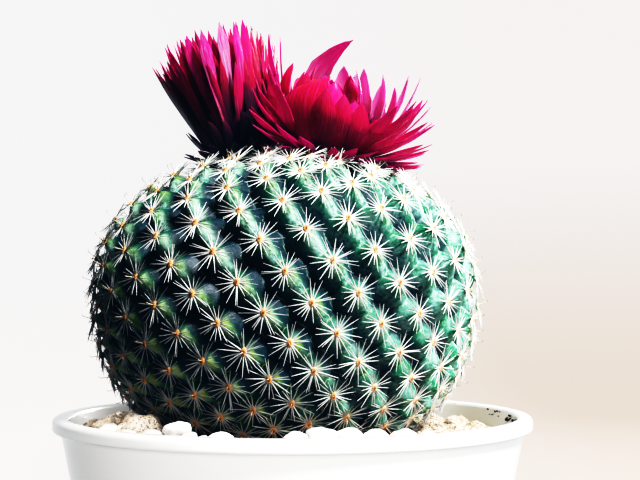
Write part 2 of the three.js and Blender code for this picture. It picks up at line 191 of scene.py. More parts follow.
class Shader:
    def __init__(self, owner):
        self.owner = owner  # a material or a world
        owner.use_nodes = True
        self.tree = owner.node_tree
        self.tree.nodes.clear()

    def node(self, kind, settings=None, sockets=None, output=0):
        node = self.tree.nodes.new(kind)
        for key, value in (settings or {}).items():
            if key == "stops":
                self.setStops(node.color_ramp, value)
            else:
                setattr(node, key, value)
        for key, value in (sockets or {}).items():
            if isinstance(value, Socket):
                self.tree.links.new(value.socket, node.inputs[key])
            else:
                node.inputs[key].default_value = value
        return Socket(self, node.outputs[output])

    def setStops(self, ramp, stops):
        while len(ramp.elements) < len(stops):
            ramp.elements.new(0.5)
        for element, (place, colour) in zip(ramp.elements, stops):
            element.position = place
            element.color = (*colour, 1) if isinstance(colour, tuple) else (colour, colour, colour, 1)

    def ramp(self, factor, stops):
        return self.node("ShaderNodeValToRGB", {"stops": stops}, {"Fac": factor})

    def mix(self, factor, first, second):
        colours = [(*c, 1) if isinstance(c, tuple) else c for c in (first, second)]
        sockets = {0: factor, 6: colours[0], 7: colours[1]}
        return self.node("ShaderNodeMix", {"data_type": "RGBA"}, sockets, 2)

    def place(self, scale=(1, 1, 1), source="Object"):
        where = self.node("ShaderNodeTexCoord", output=source)
        return self.node("ShaderNodeMapping", sockets={"Vector": where, "Scale": scale})

    def noise(self, vector, scale, detail=3, roughness=0.5):
        sockets = {"Vector": vector, "Scale": scale, "Detail": detail, "Roughness": roughness}
        return self.node("ShaderNodeTexNoise", sockets=sockets)

    def cells(self, vector, scale):
        # the distance from the middles of small random cells
        sockets = {"Vector": vector, "Scale": scale}
        return self.node("ShaderNodeTexVoronoi", sockets=sockets, output="Distance")

    def axis(self, vector, letter):
        return self.node("ShaderNodeSeparateXYZ", sockets={0: vector}, output=letter)

    def attribute(self, name):
        return self.node("ShaderNodeAttribute", {"attribute_name": name}, output="Fac")

    def bump(self, height, distance, strength=1.0):
        sockets = {"Height": height, "Distance": distance, "Strength": strength}
        return self.node("ShaderNodeBump", sockets=sockets)

    def finish(self, surface, kind="ShaderNodeOutputMaterial"):
        output = self.tree.nodes.new(kind)
        self.tree.links.new(surface.socket, output.inputs["Surface"])
        return self.owner

    def surface(self, sockets):
        return self.node("ShaderNodeBsdfPrincipled", sockets=sockets)

    def paint(self, sockets):
        return self.finish(self.surface(sockets))


def newShader(name):
    return Shader(bpy.data.materials.new(name))


def glazedWhite():
    shader = newShader("glazedWhite")
    where = shader.place()
    cloud = shader.noise(where, 40, 2)
    speck = shader.cells(where, 260)
    white = shader.mix(cloud * 0.5, (0.82, 0.815, 0.80), (0.87, 0.866, 0.855))
    specks = shader.ramp(speck, [(0.0, 1.0), (0.06, 0.0)])
    brown = (0.45, 0.40, 0.33)
    colour = shader.mix(specks * 0.25, white, brown)
    ripple = shader.noise(where, 90, 2)
    return shader.paint({
        "Base Color": colour,
        "Roughness": cloud * 0.12 + 0.16,
        "Coat Weight": 0.5,
        "Coat Roughness": 0.08,
        "Normal": shader.bump(ripple, 0.00012, 0.3),
    })


def darkSoil():
    shader = newShader("darkSoil")
    where = shader.place()
    grain = shader.noise(where, 900, 6, 0.7)
    stops = [(0.3, (0.012, 0.009, 0.007)), (0.6, (0.05, 0.034, 0.022)), (0.75, (0.2, 0.15, 0.1))]
    colour = shader.ramp(grain, stops)
    return shader.paint({"Base Color": colour, "Roughness": 0.95, "Normal": shader.bump(grain, 0.0006)})


def bedGrit():
    shader = newShader("bedGrit")
    where = shader.place()
    grains = shader.cells(where, 900)
    tone = shader.noise(where, 500, 3)
    patch = shader.noise(where, 60, 2)
    stops = [(0.3, (0.30, 0.22, 0.15)), (0.5, (0.55, 0.45, 0.34)), (0.7, (0.8, 0.74, 0.64))]
    dirt = shader.ramp(patch, [(0.45, 0.0), (0.62, 1.0)])
    darkBrown = (0.05, 0.035, 0.025)
    colour = shader.mix(dirt * 0.8, shader.ramp(tone, stops), darkBrown)
    return shader.paint({"Base Color": colour, "Roughness": 0.9, "Normal": shader.bump(grains, 0.0006)})


def whiteStone():
    shader = newShader("whiteStone")
    where = shader.place()
    tone = shader.noise(where, 140, 4)
    grain = shader.noise(where, 1500, 4, 0.65)
    colour = shader.ramp(tone, [(0.35, (0.55, 0.53, 0.50)), (0.6, (0.76, 0.745, 0.72))])
    return shader.paint({"Base Color": colour, "Roughness": 0.72, "Normal": shader.bump(grain, 0.0003)})


def tanStone():
    shader = newShader("tanStone")
    where = shader.place()
    tone = shader.noise(where, 160, 5, 0.6)
    pits = shader.cells(where, 1900)
    pit = shader.ramp(pits, [(0.1, 1.0), (0.35, 0.0)])
    stops = [(0.3, (0.55, 0.38, 0.26)), (0.5, (0.74, 0.60, 0.46)), (0.7, (0.86, 0.78, 0.68))]
    # painted shade: the pits are painted a dark red-brown
    pitShade = (0.16, 0.08, 0.05)
    colour = shader.mix(pit * 0.75, shader.ramp(tone, stops), pitShade)
    grain = shader.noise(where, 1800, 4, 0.7)
    return shader.paint({
        "Base Color": colour,
        "Roughness": 0.9,
        "Normal": shader.bump(grain - pit * 1.2, 0.0005),
    })


def waxySkin():
    shader = newShader("waxySkin")
    where = shader.place()
    height = shader.attribute("tubercle")  # 0 in the valleys, 1 at the areoles
    across = shader.attribute("across")  # millimetres from the rib's crest, positive to the right
    fall = shader.attribute("fall")  # millimetres below the areole
    mottle = shader.noise(where, 1100, 4, 0.6)
    cloud = shader.noise(where, 150, 3)
    wander = (cloud - 0.5) * 1.2 + (mottle - 0.5) * 0.8  # keeps the edges of each colour uneven
    # painted shade: the valleys between the tubercles are painted near black-blue
    valleyShade = (0.004, 0.034, 0.050)
    litWax = (0.44, 0.72, 0.66)  # painted light: the whitish mint that the wax shows where light falls
    litLime = (0.50, 0.60, 0.08)
    shadeGreen, sunGreen = (0.010, 0.12, 0.065), (0.018, 0.22, 0.10)
    apart = shader.axis(where, "X")
    litFromRight = shader.ramp(apart * 10 + 0.5, [(0.45, 0.0), (0.85, 1.0)])  # painted light: the right side, where the light falls, is painted a lighter green
    green = shader.mix(litFromRight, shadeGreen, sunGreen)
    level = shader.axis(where, "Z")
    litTop = shader.ramp(level * 10 - 0.5 + litFromRight * 0.15, [(0.48, 0.0), (0.78, 1.0)])  # painted light: the lit tongues grow longer, wider and lighter towards the top
    down = fall / 10 / (litTop * 0.45 + 0.55)
    narrow = down.atLeast(0) * (1 - litTop * 0.6) * 1.6 + 1
    band = (across + wander) / 12 * narrow + 0.5
    # the margin is green along the rib and painted shade fills the valleys outside it; below each areole the
    # tongue is painted light, the whitish mint that the wax shows where light falls
    margin = shader.ramp(band, [(0.24, 0.0), (0.38, 1.0), (0.63, 1.0), (0.71, 0.0)])
    colour = shader.mix(margin * shader.ramp(height, [(0.15, 0.0), (0.5, 1.0)]), valleyShade, green)
    litTongue = shader.ramp(band, [(0.37, 0.0), (0.46, 1.0), (0.60, 1.0), (0.67, 0.0)])
    litTongue = litTongue * shader.ramp(down, [(0.0, 0.0), (0.06, 1.0), (0.45, 0.8), (0.85, 0.05)])
    litTongue = litTongue * shader.ramp(height, [(0.16, 0.0), (0.36, 1.0)])
    patch = shader.ramp(mottle + (cloud - 0.5) * 0.9, [(0.41, 0.06), (0.59, 1.0)])
    # painted light: patches of the lit wax colour over the upper parts of the tubercles on the lit right side
    litPatches = shader.ramp(mottle * 0.5 + cloud * 0.5, [(0.42, 0.0), (0.60, 0.7)])
    colour = shader.mix(litFromRight * litPatches * shader.ramp(height, [(0.2, 0.0), (0.6, 1.0)]), colour, litWax)
    colour = shader.mix(litTongue * (litTop * 0.6 + 0.2 + litFromRight * 0.2) * patch, colour, litWax)
    # painted light: the lit tongue is painted yellow-green next to the areole, less so towards the top
    nearAreole = shader.ramp(fall / 10, [(0.02, 1.0), (0.45, 0.0)])
    colour = shader.mix(litTongue * nearAreole * (1 - litTop * 0.7), colour, litLime)
    return shader.paint({
        "Base Color": colour,
        "Roughness": 0.42 + mottle * 0.2,
        "Normal": shader.bump(mottle, 0.00025, 0.6),
    })


def whiteSpine():
    shader = newShader("whiteSpine")
    along = shader.attribute("along")
    where = shader.place()
    apart = shader.axis(where, "X")
    level = shader.axis(where, "Z")
    stops = [(0.0, (0.93, 0.82, 0.52)), (0.18, (0.95, 0.93, 0.86)), (1.0, (0.97, 0.96, 0.96))]
    shadeGrey = (0.26, 0.29, 0.31)
    lowLeftShade = shader.ramp((level - 0.09) * 12 + apart * 7, [(0.0, 1.0), (0.65, 0.0)])  # painted shade: 1 on the spines low down and to the left, which are painted greyer
    colour = shader.mix(lowLeftShade * 0.65, shader.ramp(along, stops), shadeGrey)
    return shader.paint({"Base Color": colour, "Roughness": 0.45})


def hookedSpine():
    shader = newShader("hookedSpine")
    along = shader.attribute("along")
    stops = [
        (0.0, (0.75, 0.42, 0.14)), (0.3, (0.88, 0.80, 0.66)), (0.72, (0.80, 0.66, 0.52)),
        (0.84, (0.10, 0.03, 0.03)),
    ]
    return shader.paint({"Base Color": shader.ramp(along, stops), "Roughness": 0.4})


def areoleWool():
    shader = newShader("areoleWool")
    where = shader.place()
    edge = shader.attribute("edge")
    tone = shader.noise(where, 2600, 4, 0.7)
    apart = shader.axis(where, "X")
    # painted light: pads to the right take the paler, lit colours and pads to the left the redder, shaded
    # ones
    litFromRight = shader.ramp(apart * 10 + 0.5, [(0.35, 0.0), (0.85, 1.0)])
    shadedWool = [(0.15, (0.30, 0.07, 0.02)), (0.45, (0.74, 0.30, 0.09)), (0.9, (0.86, 0.52, 0.22))]
    litWool = [(0.15, (0.45, 0.16, 0.04)), (0.45, (0.88, 0.56, 0.26)), (0.9, (0.97, 0.84, 0.60))]
    spot = edge + (tone - 0.5) * 0.9
    colour = shader.mix(litFromRight, shader.ramp(spot, shadedWool), shader.ramp(spot, litWool))
    return shader.paint({"Base Color": colour, "Roughness": 0.95, "Normal": shader.bump(tone, 0.0003)})


def paperyBract():
    shader = newShader("paperyBract")
    rise = shader.attribute("rise")  # from the root to the tip; the dark roots are painted shade
    tint = shader.attribute("tint")  # lighter from bract to bract, partly at random and partly as painted light on the bracts that face the lit side
    hotPink = (0.98, 0.02, 0.46)
    pearlHighlight = (1.0, 0.72, 0.93)
    darkRed = (0.05, 0.0, 0.01)
    inner = shader.attribute("inner")  # 1 on the face towards the head's middle
    fibre = shader.noise(shader.place((38, 3.5, 1), "UV"), 1, 3, 0.6)
    blotch = shader.noise(shader.place((4, 7, 1), "UV"), 1, 2)
    # the darkest stops are painted shade at the roots and on shaded bracts; crimson to magenta towards the
    # tips
    stops = [
        (0.0, (0.010, 0.004, 0.018)), (0.24, (0.07, 0.003, 0.045)), (0.46, (0.34, 0.002, 0.07)),
        (0.66, (0.80, 0.003, 0.10)), (0.9, (0.84, 0.005, 0.15)), (1.0, (0.88, 0.010, 0.34)),
    ]
    colour = shader.ramp(rise + (tint - 0.5) * 0.7 + (fibre - 0.5) * 0.25, stops)
    # hot pink, most on the inner faces: partly the bracts' own colour, partly painted light, since the tints
    # that raise it are lighter on the lit side
    pink = shader.ramp(rise * 0.3 + fibre * 1.1 + tint * 0.3, [(0.96, 0.0), (1.20, 1.0)])
    pink = (pink + inner * 0.8) * shader.ramp(rise + tint * 0.3, [(0.35, 0.0), (0.65, 1.0)])
    colour = shader.mix(pink, colour, hotPink)
    # painted highlight: whitish pink streaks on the lightest tints and inner faces
    paleHighlight = shader.ramp(fibre + tint * 0.3 + inner * 0.2, [(0.86, 0.0), (0.96, 1.0)])
    colour = shader.mix(paleHighlight * 0.9, colour, pearlHighlight)
    speck = shader.cells(shader.place((2.5, 5, 1), "UV"), 1)
    colour = shader.mix(shader.ramp(speck, [(0.03, 0.8), (0.07, 0.0)]), colour, darkRed)
    normal = shader.bump(fibre, 0.0003, 0.9)
    face = shader.surface({
        "Base Color": colour,
        "Roughness": 0.30 + blotch * 0.25,
        "Coat Weight": 0.35,
        "Coat Roughness": 0.25,
        "Normal": normal,
    })
    glowKind = "ShaderNodeBsdfTranslucent"
    glow = shader.node(glowKind, sockets={"Color": (1.0, 0.03, 0.50, 1), "Normal": normal})
    paleGlow = shader.node(glowKind, sockets={"Color": (1.0, 0.70, 0.92, 1), "Normal": normal})
    # the light through the bracts is whitish where the highlight is painted
    through = shader.node("ShaderNodeMixShader", sockets={0: paleHighlight, 1: glow, 2: paleGlow})
    thin = shader.ramp(rise, [(0.15, 0.05), (0.6, 0.48)])
    surface = shader.node("ShaderNodeMixShader", sockets={0: thin, 1: face, 2: through})
    return shader.finish(surface)


cameraSettings = {
    "place": (0, -0.3112, 0.11857),
    "pitch": 1.816,  # degrees up
    "turn": -1.092,  # degrees to the right
    "lens": 78.75,
    "sensor": 36,
}


def makeCamera():
    settings = cameraSettings
    turn = (math.radians(90 + settings["pitch"]), 0, math.radians(settings["turn"]))
    bpy.ops.object.camera_add(location=settings["place"], rotation=turn)
    camera = nameNew("frontCamera")
    camera.data.sensor_fit = "HORIZONTAL"
    camera.data.sensor_width = settings["sensor"]
    camera.data.lens = settings["lens"]
    camera.data.clip_start = 0.01
    bpy.context.scene.camera = camera


stageSizes = {"floorRadius": 1.15, "curveRadius": 0.9, "curveSteps": 10, "wallHeight": 2.4, "sides": 96}


def paleStage():
    shader = newShader("paleStage")
    where = shader.node("ShaderNodeTexCoord", output="Object")
    across = shader.axis(where, "X")
    level = shader.axis(where, "Z")
    wall = shader.ramp(across + 0.5, [(0.1, (0.92, 0.92, 0.94)), (0.9, (0.92, 0.86, 0.84))])
    floor = shader.ramp(across + 0.5, [(0.3, (0.95, 0.92, 0.90)), (0.75, (0.72, 0.59, 0.49))])
    colour = shader.mix(shader.ramp(level, [(0.0, 0.0), (0.3, 1.0)]), floor, wall)
    return shader.paint({
        "Base Color": shader.mix(0.96, colour, (0, 0, 0)),  # its own glow makes most of its brightness
        "Roughness": 0.95,
        "Emission Color": colour,
        "Emission Strength": 0.78,
    })


def makeStage():
    sizes = stageSizes
    reach = sizes["floorRadius"]
    curve = sizes["curveRadius"]
    clearSelection()
    bpy.ops.mesh.primitive_circle_add(
        vertices=sizes["sides"], radius=reach, fill_type="NGON", location=(0, 0, 0))
    stage = nameNew("stage")
    editAll()
    bpy.ops.mesh.select_mode(type="EDGE")
    bpy.ops.mesh.region_to_loop()
    bend = arc((reach, curve), curve, -90, 0, sizes["curveSteps"])
    profile = [(reach, 0), *bend[1:], (reach + curve, sizes["wallHeight"])]
    followProfile(bpy.ops.mesh.extrude_edges_move, profile)
    bpy.ops.mesh.select_mode(type="VERT")
    stopEditing()
    smooth(stage, 60)
    stage.data.materials.append(paleStage())
    stage.visible_diffuse = False  # the soft light comes from the world and the lamps alone
    stage.visible_glossy = False
    stage.visible_transmission = False
    stage.visible_shadow = False


lights = {
    "keyRight": {"place": (0.50, -0.45, 0.80), "aim": (0, 0, 0.12), "size": 0.16, "power": 15},
    "backRight": {"place": (0.45, 0.74, 0.36), "aim": (0, 0, 0.15), "size": 0.35, "power": 6},
    "tableLeft": {"place": (-0.30, -0.66, 0.04), "aim": (0, 0, 0.085), "size": 0.45, "power": 2.6},
    "tableRight": {"place": (0.34, -0.62, 0.03), "aim": (0, 0, 0.085), "size": 0.45, "power": 2.6},
    "shelfLeft": {"place": (-0.40, -0.40, 0.30), "aim": (0, 0, 0.085), "size": 0.35, "power": 2.2},
}
# lamps that don't fall on the plant: two on the pot and its stones, one on the stones alone
potLamps = ("tableLeft", "tableRight")
stoneLamps = (*potLamps, "shelfLeft")
lightColour = (1, 0.985, 0.97)
# the soft room light: its strength all round, what each side adds to it, and the least that is left
roomLight = {
    "all": 0.02, "right": 0.85, "left": 0.03, "back": 0.75, "front": 0.02, "up": 0.03, "down": -0.4,
    "least": 0.01,
}
roomColour = (0.97, 0.98, 1.0)


def makeRoom():
    shader = Shader(bpy.data.worlds.new("softRoom"))
    direction = shader.node("ShaderNodeTexCoord", output="Generated")
    strength = roomLight["all"]
    sides = {"X": ("right", "left"), "Y": ("back", "front"), "Z": ("up", "down")}
    for axis, (ahead, behind) in sides.items():
        part = shader.axis(direction, axis)
        strength = strength + part.atLeast(0) ** 2 * roomLight[ahead]
        strength = strength + (part * -1).atLeast(0) ** 2 * roomLight[behind]
    strength = strength.atLeast(roomLight["least"])
    glow = shader.node("ShaderNodeBackground", sockets={"Color": (*roomColour, 1), "Strength": strength})
    return shader.finish(glow, "ShaderNodeOutputWorld")


def makeLights():
    for name, light in lights.items():
        direction = Vector(light["aim"]) - Vector(light["place"])
        turn = direction.to_track_quat("-Z", "Y").to_euler()
        bpy.ops.object.light_add(type="AREA", location=light["place"], rotation=turn)
        lamp = nameNew(name)
        lamp.data.size = light["size"]
        lamp.data.energy = light["power"]
        lamp.data.color = lightColour
        lamp.visible_camera = False
        if name in stoneLamps:
            lamp.light_linking.receiver_collection = bpy.data.collections.new(name + "Pieces")
    bpy.context.scene.world = makeRoom()


toneCurve = [(0.05, 0.014), (0.12, 0.075), (0.25, 0.30), (0.43, 0.66), (0.7, 0.90)]  # crisp, as the photo is
shadowTint = (0.005, 0.013, 0.021)


def setTones():
    view = bpy.context.scene.view_settings
    view.view_transform = "Standard"
    view.use_curve_mapping = True
    curves = view.curve_mapping.curves
    for place in toneCurve:
        curves[3].points.new(*place)
    for curve, level in zip(curves, shadowTint):
        curve.points[0].location = (0, level)
    view.curve_mapping.update()


potSizes = {
    "height": 0.090,
    "rimRadius": 0.0525,
    "taper": math.tan(math.radians(11)),
    "footRadius": 0.0337,
    "wall": 0.0021,
    "floorTop": 0.005,
    "footRecess": 0.0016,
    "footRing": 0.004,
    "drainRadius": 0.005,
    "beadHeight": 0.0032,
    # steps out and up from the foot of the bead, where the wall runs into it
    "beadFillet": [(-0.0001555, -0.0008), (0.0000811, -0.0002), (0.0004, 0.0001)],
    "beadCorner": 0.0008,
    "beadLift": 0.0002,  # of the bead's lower corner
    "lipOutside": 0.0013,
    "lipInside": 0.001,
    "floorCorner": 0.0015,
    "drainCorner": 0.0003,
    "footCorner": 0.0009,
    "ringCorner": 0.0004,
    "recessCorner": 0.0005,
    "wallRows": 6,
    "sides": 128,
}


def outerWall(height):
    return potSizes["footRadius"] + height * potSizes["taper"]


def innerWall(height):
    return outerWall(height) - potSizes["wall"]


def makePot():
    sizes = potSizes
    top = sizes["height"]
    rim = sizes["rimRadius"]
    ring = sizes["footRadius"] - sizes["footRing"]
    drain = sizes["drainRadius"]
    beadFoot = top - sizes["beadHeight"]
    recess, recessCorner = sizes["footRecess"], sizes["recessCorner"]
    ringCorner, footCorner = sizes["ringCorner"], sizes["footCorner"]
    beadCorner, outside, inside = sizes["beadCorner"], sizes["lipOutside"], sizes["lipInside"]
    floor, floorCorner, drainCorner = sizes["floorTop"], sizes["floorCorner"], sizes["drainCorner"]
    rows = sizes["wallRows"]
    profile = [
        (drain, recess),
        (ring - recessCorner, recess),
        (ring, recess - recessCorner),
        *arc((ring + ringCorner, ringCorner), ringCorner, 180, 270, 3),
        *arc((sizes["footRadius"] - footCorner, footCorner), footCorner, 270, 349, 5),
        *[(outerWall(beadFoot * k / rows), beadFoot * k / rows) for k in range(1, rows)],
        *[(outerWall(beadFoot) + out, beadFoot + up) for out, up in sizes["beadFillet"]],
        *arc((rim - beadCorner, beadFoot + sizes["beadLift"] + beadCorner), beadCorner, -75, 0, 5),
        *arc((rim - outside, top - outside), outside, 0, 90, 7),
        *arc((innerWall(top) + inside, top - inside), inside, 90, 180, 5),
        *[(innerWall(top * k / rows), top * k / rows) for k in range(rows - 1, 0, -1)],
        *arc((innerWall(floor + floorCorner) - floorCorner, floor + floorCorner), floorCorner, 0, -90, 4),
        (drain + drainCorner, floor),
        (drain, floor - drainCorner),
    ]
    pot = turnProfile("potBody", profile, sizes["sides"])
    smooth(pot, 35)
    finishPiece(pot, glazedWhite(), "pot")
    lightFrom(potLamps, pot)


def dressSoil():
    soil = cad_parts["soil"]
    soil.data.materials.clear()
    soil.data.materials.append(darkSoil())


cactusSizes = {
    "centre": (-0.00175, 0, 0.11665),
    "halfWidth": 0.042,
    "upperHalf": 0.0302,
    "lowerHalf": 0.0365,
    "power": 2.25,
    "areoles": 361,
    "firstAreole": 5.84,
    "divergence": math.radians(137.5243),
    "firstAzimuth": math.radians(31.227),
    "crownSpacing": 0.4125,
    "leanRight": math.radians(7.8),
    "leanBack": math.radians(2.9),
    "bottom": 0.0832,  # just inside the soil's top
    "ballSteps": 6,
    "fineCuts": 2,
}
tubercleShape = {
    "height": 0.0052,
    "right": 0.0045,  # from the rib's crest to the valley at its side
    "left": 0.0054,
    "crest": 0.0007,  # roundness of the crest
    "above": 0.0042,  # from the areole to the notch on the crown's side
    "below": 0.0100,  # to the foot of the long lower face
    "corner": 1.35,  # 1 gives flat faces, 2 a round cone
    "pad": 0.10,
    "ribStep": 21,  # the next areole down a rib is this many later in the spiral
    "reach": 0.013,  # no tubercle is wider than this
    "neighbours": 6,  # a tubercle's size follows the spacing of these
    "sizeRange": (0.6, 1.25),
}


def bodyReach(directions):
    sizes = cactusSizes
    half = np.where(directions[:, 2] > 0, sizes["upperHalf"], sizes["lowerHalf"])
    across = np.hypot(directions[:, 0], directions[:, 1]) / sizes["halfWidth"]
    along = np.abs(directions[:, 2]) / half
    return (across ** sizes["power"] + along ** sizes["power"]) ** (-1 / sizes["power"])


def bodyNormals(offsets):
    sizes = cactusSizes
    half = np.where(offsets[:, 2] > 0, sizes["upperHalf"], sizes["lowerHalf"])
    level = np.maximum(np.hypot(offsets[:, 0], offsets[:, 1]), 1e-9)
    across = (level / sizes["halfWidth"]) ** (sizes["power"] - 1) / sizes["halfWidth"] / level
    along = (np.abs(offsets[:, 2]) / half) ** (sizes["power"] - 1) / half * np.sign(offsets[:, 2])
    normals = np.stack([offsets[:, 0] * across, offsets[:, 1] * across, along], axis=1)
    return normals / np.linalg.norm(normals, axis=1, keepdims=True)


leanRight = Matrix.Rotation(cactusSizes["leanRight"], 3, "Y")
growthTurn = leanRight @ Matrix.Rotation(-cactusSizes["leanBack"], 3, "X")


def findAreoles():
    # each areole's place, and the directions out of the body, towards the crown and to the right
    sizes = cactusSizes
    count = np.arange(math.ceil(sizes["areoles"] - sizes["firstAreole"]))
    share = (count + sizes["firstAreole"]) / sizes["areoles"]
    spread = share + sizes["crownSpacing"] * share * (1 - share)
    polar = np.arccos(1 - 2 * spread)
    azimuth = sizes["firstAzimuth"] + count * sizes["divergence"]
    level = np.sin(polar)
    directions = np.stack([level * np.cos(azimuth), level * np.sin(azimuth), np.cos(polar)], axis=1)
    directions = directions @ np.array(growthTurn).T
    offsets = directions * bodyReach(directions)[:, None]
    out = bodyNormals(offsets)
    pole = np.array(growthTurn @ Vector((0, 0, 1)))
    up = pole - out * (out @ pole)[:, None]
    up /= np.linalg.norm(up, axis=1, keepdims=True)
    tips = offsets + np.array(sizes["centre"])
    ribs = -up
    step = tubercleShape["ribStep"]
    ribs[:-step] = tips[step:] - tips[:-step]
    ribs -= out * np.einsum("ij,ij->i", ribs, out)[:, None]
    ribs /= np.linalg.norm(ribs, axis=1, keepdims=True)
    return {
        "tips": tips, "out": out, "up": up, "side": np.cross(up, out), "pole": pole,
        "ribs": ribs, "beside": np.cross(out, ribs),
    }


def shapeTubercles(body, areoles):
    # every point of the ball is moved to the highest of the tubercles round it
    sizes = cactusSizes
    shape = tubercleShape
    centre = np.array(sizes["centre"])
    points = readPoints(body) - centre
    directions = points / np.linalg.norm(points, axis=1, keepdims=True)
    reach = bodyReach(directions)
    surface = centre + directions * reach[:, None]
    gaps = np.linalg.norm(areoles["tips"][:, None] - areoles["tips"][None], axis=2)
    spacing = np.sort(gaps, axis=1)[:, 1:shape["neighbours"] + 1].mean(axis=1)
    scale = np.clip(spacing / np.median(spacing), *shape["sizeRange"])
    nearest = np.full(len(points), np.inf)
    across = np.zeros(len(points))
    fall = np.zeros(len(points))
    crest = shape["crest"]
    corner = shape["corner"]
    for tip, rib, beside, size in zip(areoles["tips"], areoles["ribs"], areoles["beside"], scale):
        away = surface - tip
        near = np.einsum("ij,ij->i", away, away) < (shape["reach"] * size) ** 2
        away = away[near]
        down = away @ rib / size
        sideways = away @ beside / size
        half = np.where(sideways > 0, shape["right"], shape["left"])
        aside = (np.sqrt(sideways ** 2 + crest ** 2) - crest) / half
        along = np.where(down < 0, -down / shape["above"], down / shape["below"])
        share = (aside ** corner + along ** corner) ** (1 / corner)
        better = share < nearest[near]
        index = np.flatnonzero(near)[better]
        nearest[index] = share[better]
        across[index] = sideways[better]
        fall[index] = down[better]
    nearest = np.minimum(nearest, 1)
    pad = shape["pad"]
    height = 1 - (np.sqrt(nearest ** 2 + pad ** 2) - pad) / (math.sqrt(1 + pad ** 2) - pad)
    final = centre + directions * (reach - shape["height"] * (1 - height))[:, None]
    writePoints(body, final)
    writeAttribute(body, "tubercle", height)
    writeAttribute(body, "across", across * 1000)
    writeAttribute(body, "fall", fall * 1000)


def makeBody(areoles):
    sizes = cactusSizes
    clearSelection()
    bpy.ops.mesh.primitive_ico_sphere_add(
        subdivisions=sizes["ballSteps"], radius=sizes["halfWidth"], location=sizes["centre"])
    body = nameNew("cactusBody")
    bpy.ops.object.transform_apply(location=True, rotation=True, scale=True)
    editAll()
    bpy.ops.mesh.subdivide(number_cuts=sizes["fineCuts"])
    stopEditing()
    shapeTubercles(body, areoles)
    editAll()
    bpy.ops.mesh.bisect(plane_co=(0, 0, sizes["bottom"]), plane_no=(0, 0, 1), clear_inner=True, use_fill=True)
    stopEditing()
    smooth(body, 80)
    finishPiece(body, waxySkin(), "cactus")


spineSizes = {
    "perAreole": 20,
    "lift": 0.0002,  # of the spines' middle off the areole
    "length": 0.0047,
    "baseRadius": 0.00019,
    "tipRadius": 0.00004,
    "tilt": math.radians(9),  # the areoles face a little towards the crown, and at the crown away from it
    "crownTilt": math.radians(-24),
    "rise": math.radians(8),  # off the tubercle's face
    "sides": 4,
    "variants": 5,
    "seed": 3,
    "floor": 0.0885,  # no spines below this, where the stones are
}
# how much the spines of an areole differ: shares of a step, radians, and shares of their size
spineChance = {"turn": 0.9, "rise": (-0.10, 0.12), "length": (0.74, 1.08), "size": (0.92, 1.06)}
centralSizes = {
    "length": 0.0024,
    "radius": 0.00008,
    "sides": 4,
    "taper": 0.86,  # from each ring to the next
    "hookRadius": 0.0004,
    "hookSteps": 5,
    "hookTurn": 95,
}
centralChance = {"lean": (-24, 8), "swing": (-16, 16), "spin": 0.9}  # degrees, degrees and radians
padSizes = {"across": 0.0013, "tall": 0.0020, "deep": 0.0010, "lift": 0.0003, "segments": 10, "rings": 6}


def makeSpineCluster(variant):
    sizes = spineSizes
    chance = random.Random(sizes["seed"] + variant)
    clearSelection()
    bpy.ops.mesh.primitive_cone_add(vertices=3, radius1=0.0001, depth=0.0002, location=(0, 0, 0))
    cluster = nameNew(f"spineCluster{variant}")
    bpy.ops.object.mode_set(mode="EDIT")
    for k in range(sizes["perAreole"]):
        turn = (k + spineChance["turn"] * (chance.random() - 0.5)) * 2 * math.pi / sizes["perAreole"]
        rise = sizes["rise"] + chance.uniform(*spineChance["rise"])
        length = sizes["length"] * chance.uniform(*spineChance["length"])
        flat = math.cos(rise)
        direction = Vector((math.cos(turn) * flat, math.sin(turn) * flat, math.sin(rise)))
        bpy.ops.mesh.primitive_cone_add(
            vertices=sizes["sides"], radius1=sizes["baseRadius"], radius2=sizes["tipRadius"], depth=length,
            location=direction * (length / 2), rotation=direction.to_track_quat("Z", "Y").to_euler())
    stopEditing()
    points = readPoints(cluster)
    writeAttribute(cluster, "along", np.linalg.norm(points, axis=1) / sizes["length"])
    return cluster


def makeHookedSpine():
    # a needle that rises from the areole and ends in a small dark hook
    sizes = centralSizes
    clearSelection()
    bpy.ops.mesh.primitive_circle_add(
        vertices=sizes["sides"], radius=sizes["radius"], fill_type="NGON", location=(0, 0, 0))
    needle = nameNew("hookedNeedle")
    editAll()
    place = Vector((0, 0, 0))
    along = [0.0]
    steps = [Vector((0, 0, sizes["length"] / 2))] * 2
    turnStep = math.radians(sizes["hookTurn"]) / sizes["hookSteps"]
    for k in range(sizes["hookSteps"]):
        angle = turnStep * (k + 0.5)
        steps.append(Vector((0, math.sin(angle), math.cos(angle))) * sizes["hookRadius"] * turnStep)
    for k, step in enumerate(steps):
        bpy.ops.mesh.extrude_region_move(TRANSFORM_OT_translate={"value": step})
        place = place + step
        along.append(along[-1] + step.length)
        if k > 1:
            bpy.ops.transform.rotate(value=turnStep, orient_axis="X", center_override=place)
        bpy.ops.transform.resize(value=(sizes["taper"],) * 3, center_override=place)
    bpy.ops.mesh.select_all(action="SELECT")
    bpy.ops.mesh.normals_make_consistent(inside=False)
    stopEditing()
    rings = np.repeat(np.array(along) / along[-1], sizes["sides"])
    writeAttribute(needle, "along", rings[:len(needle.data.vertices)])
    return needle


def makeWoolPad():
    sizes = padSizes
    clearSelection()
    bpy.ops.mesh.primitive_uv_sphere_add(
        segments=sizes["segments"], ring_count=sizes["rings"], radius=0.5, location=(0, 0, 0))
    pad = nameNew("woolPad")
    editAll()
    bpy.ops.transform.resize(value=(sizes["across"], sizes["tall"], sizes["deep"]))
    stopEditing()
    points = readPoints(pad)
    edge = np.hypot(points[:, 0] / sizes["across"], points[:, 1] / sizes["tall"]) * 2
    writeAttribute(pad, "edge", edge)
    return pad


